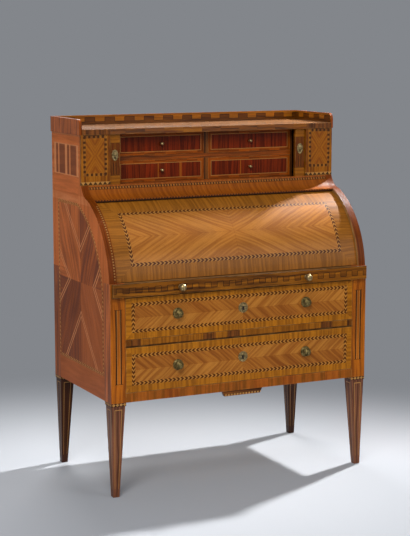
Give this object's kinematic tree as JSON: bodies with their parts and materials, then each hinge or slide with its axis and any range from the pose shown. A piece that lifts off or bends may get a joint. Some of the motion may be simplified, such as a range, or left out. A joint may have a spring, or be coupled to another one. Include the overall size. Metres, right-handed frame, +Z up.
{
  "type": "cylinder desk",
  "caption": "Cylinder desk on tapered legs: veneered case with long drawers, a pull-out writing slide, a quarter-round fall and an upper stage of small drawers behind tambour shutters.",
  "frame": {"origin": "on the floor, under the middle of the desk's box", "axes": "+X to the right seen from the front, +Y to the back, +Z up"},
  "size_m": [1.008, 0.572, 1.274],
  "materials": {
    "side_veneer": "French polished",
    "front_veneer": "French polished",
    "rail_veneer": "French polished",
    "leg_veneer": "French polished",
    "red_veneer": "French polished",
    "secondary_oak": "waxed",
    "brass": "aged",
    "iron": "blackened",
    "leather": "tooled"
  },
  "bodies": {
    "case": {"side_panel_left": "side_veneer", "side_panel_right": "side_veneer", "back_panel": "secondary_oak", "front_post_left": "rail_veneer", "front_post_right": "rail_veneer", "rear_posts": "side_veneer", "leg_front_left": "leg_veneer", "leg_front_right": "leg_veneer", "leg_rear_left": "leg_veneer", "leg_rear_right": "leg_veneer", "leg_collars": "brass", "bottom_board": "secondary_oak", "bottom_rail": "rail_veneer", "rear_rail": "secondary_oak", "apron_drop": "leg_veneer", "divider_rail": "rail_veneer", "dust_board": "secondary_oak", "drawer_guides": "secondary_oak", "slide_bearers": "secondary_oak", "stage_floor": "rail_veneer", "cavetto_moulding": "rail_veneer", "top_board": "rail_veneer", "gallery": "side_veneer", "outer_panel_left": "front_veneer", "outer_panel_right": "front_veneer", "pocket_walls": "secondary_oak", "centre_dividers": "rail_veneer", "drawer_shelf": "rail_veneer", "fall_pivot_pins": "iron", "fitment_case": "red_veneer"},
    "lower_drawer": {"lower_drawer_front": "front_veneer", "lower_drawer_box": "secondary_oak", "lower_drawer_pulls": "brass", "lower_drawer_lock": "brass"},
    "upper_drawer": {"upper_drawer_front": "front_veneer", "upper_drawer_box": "secondary_oak", "upper_drawer_pulls": "brass", "upper_drawer_lock": "brass"},
    "writing_slide": {"slide_panel": "secondary_oak", "slide_front": "leg_veneer", "slide_leather": "leather", "slide_knobs": "brass"},
    "fall": {"cylinder_fall": "front_veneer", "fall_arms": "iron"},
    "small_drawer_lower_left": {"small_drawer_lower_left": "red_veneer", "small_knob_lower_left": "brass"},
    "small_drawer_lower_right": {"small_drawer_lower_right": "red_veneer", "small_knob_lower_right": "brass"},
    "small_drawer_upper_left": {"small_drawer_upper_left": "red_veneer", "small_knob_upper_left": "brass"},
    "small_drawer_upper_right": {"small_drawer_upper_right": "red_veneer", "small_knob_upper_right": "brass"},
    "shutter_left": {"shutter_stile_left": "rail_veneer", "shutter_lock_plate_left": "brass", "tambour_left": "rail_veneer"},
    "shutter_right": {"shutter_stile_right": "rail_veneer", "shutter_lock_plate_right": "brass", "tambour_right": "rail_veneer"},
    "fitment_drawer_left": {"fitment_drawer_left": "red_veneer"},
    "fitment_drawer_right": {"fitment_drawer_right": "red_veneer"}
  },
  "joints": [
    {"name": "lower_drawer_slide", "type": "slide", "parent": "case", "child": "lower_drawer", "axis": [0, -1, 0], "range_m": [0, 0.33]},
    {"name": "upper_drawer_slide", "type": "slide", "parent": "case", "child": "upper_drawer", "axis": [0, -1, 0], "range_m": [0, 0.33]},
    {"name": "writing_slide_slide", "type": "slide", "parent": "case", "child": "writing_slide", "axis": [0, -1, 0], "range_m": [0, 0.2]},
    {"name": "fall_hinge", "type": "hinge", "parent": "case", "child": "fall", "pos_m": [0, 0.07684, 0.711], "axis": [-1, 0, 0], "range_deg": [0, 57]},
    {"name": "small_drawer_lower_left_slide", "type": "slide", "parent": "case", "child": "small_drawer_lower_left", "axis": [0, -1, 0], "range_m": [0, 0.16]},
    {"name": "small_drawer_lower_right_slide", "type": "slide", "parent": "case", "child": "small_drawer_lower_right", "axis": [0, -1, 0], "range_m": [0, 0.16]},
    {"name": "small_drawer_upper_left_slide", "type": "slide", "parent": "case", "child": "small_drawer_upper_left", "axis": [0, -1, 0], "range_m": [0, 0.16]},
    {"name": "small_drawer_upper_right_slide", "type": "slide", "parent": "case", "child": "small_drawer_upper_right", "axis": [0, -1, 0], "range_m": [0, 0.16]},
    {"name": "shutter_left_slide", "type": "slide", "parent": "case", "child": "shutter_left", "axis": [-1, 0, 0], "range_m": [-0.3495, 0], "deforming": ["tambour_left"]},
    {"name": "shutter_right_slide", "type": "slide", "parent": "case", "child": "shutter_right", "axis": [1, 0, 0], "range_m": [-0.3495, 0], "deforming": ["tambour_right"]},
    {"name": "fitment_drawer_left_slide", "type": "slide", "parent": "case", "child": "fitment_drawer_left", "axis": [0, -1, 0], "range_m": [0, 0.15]},
    {"name": "fitment_drawer_right_slide", "type": "slide", "parent": "case", "child": "fitment_drawer_right", "axis": [0, -1, 0], "range_m": [0, 0.15]}
  ]
}
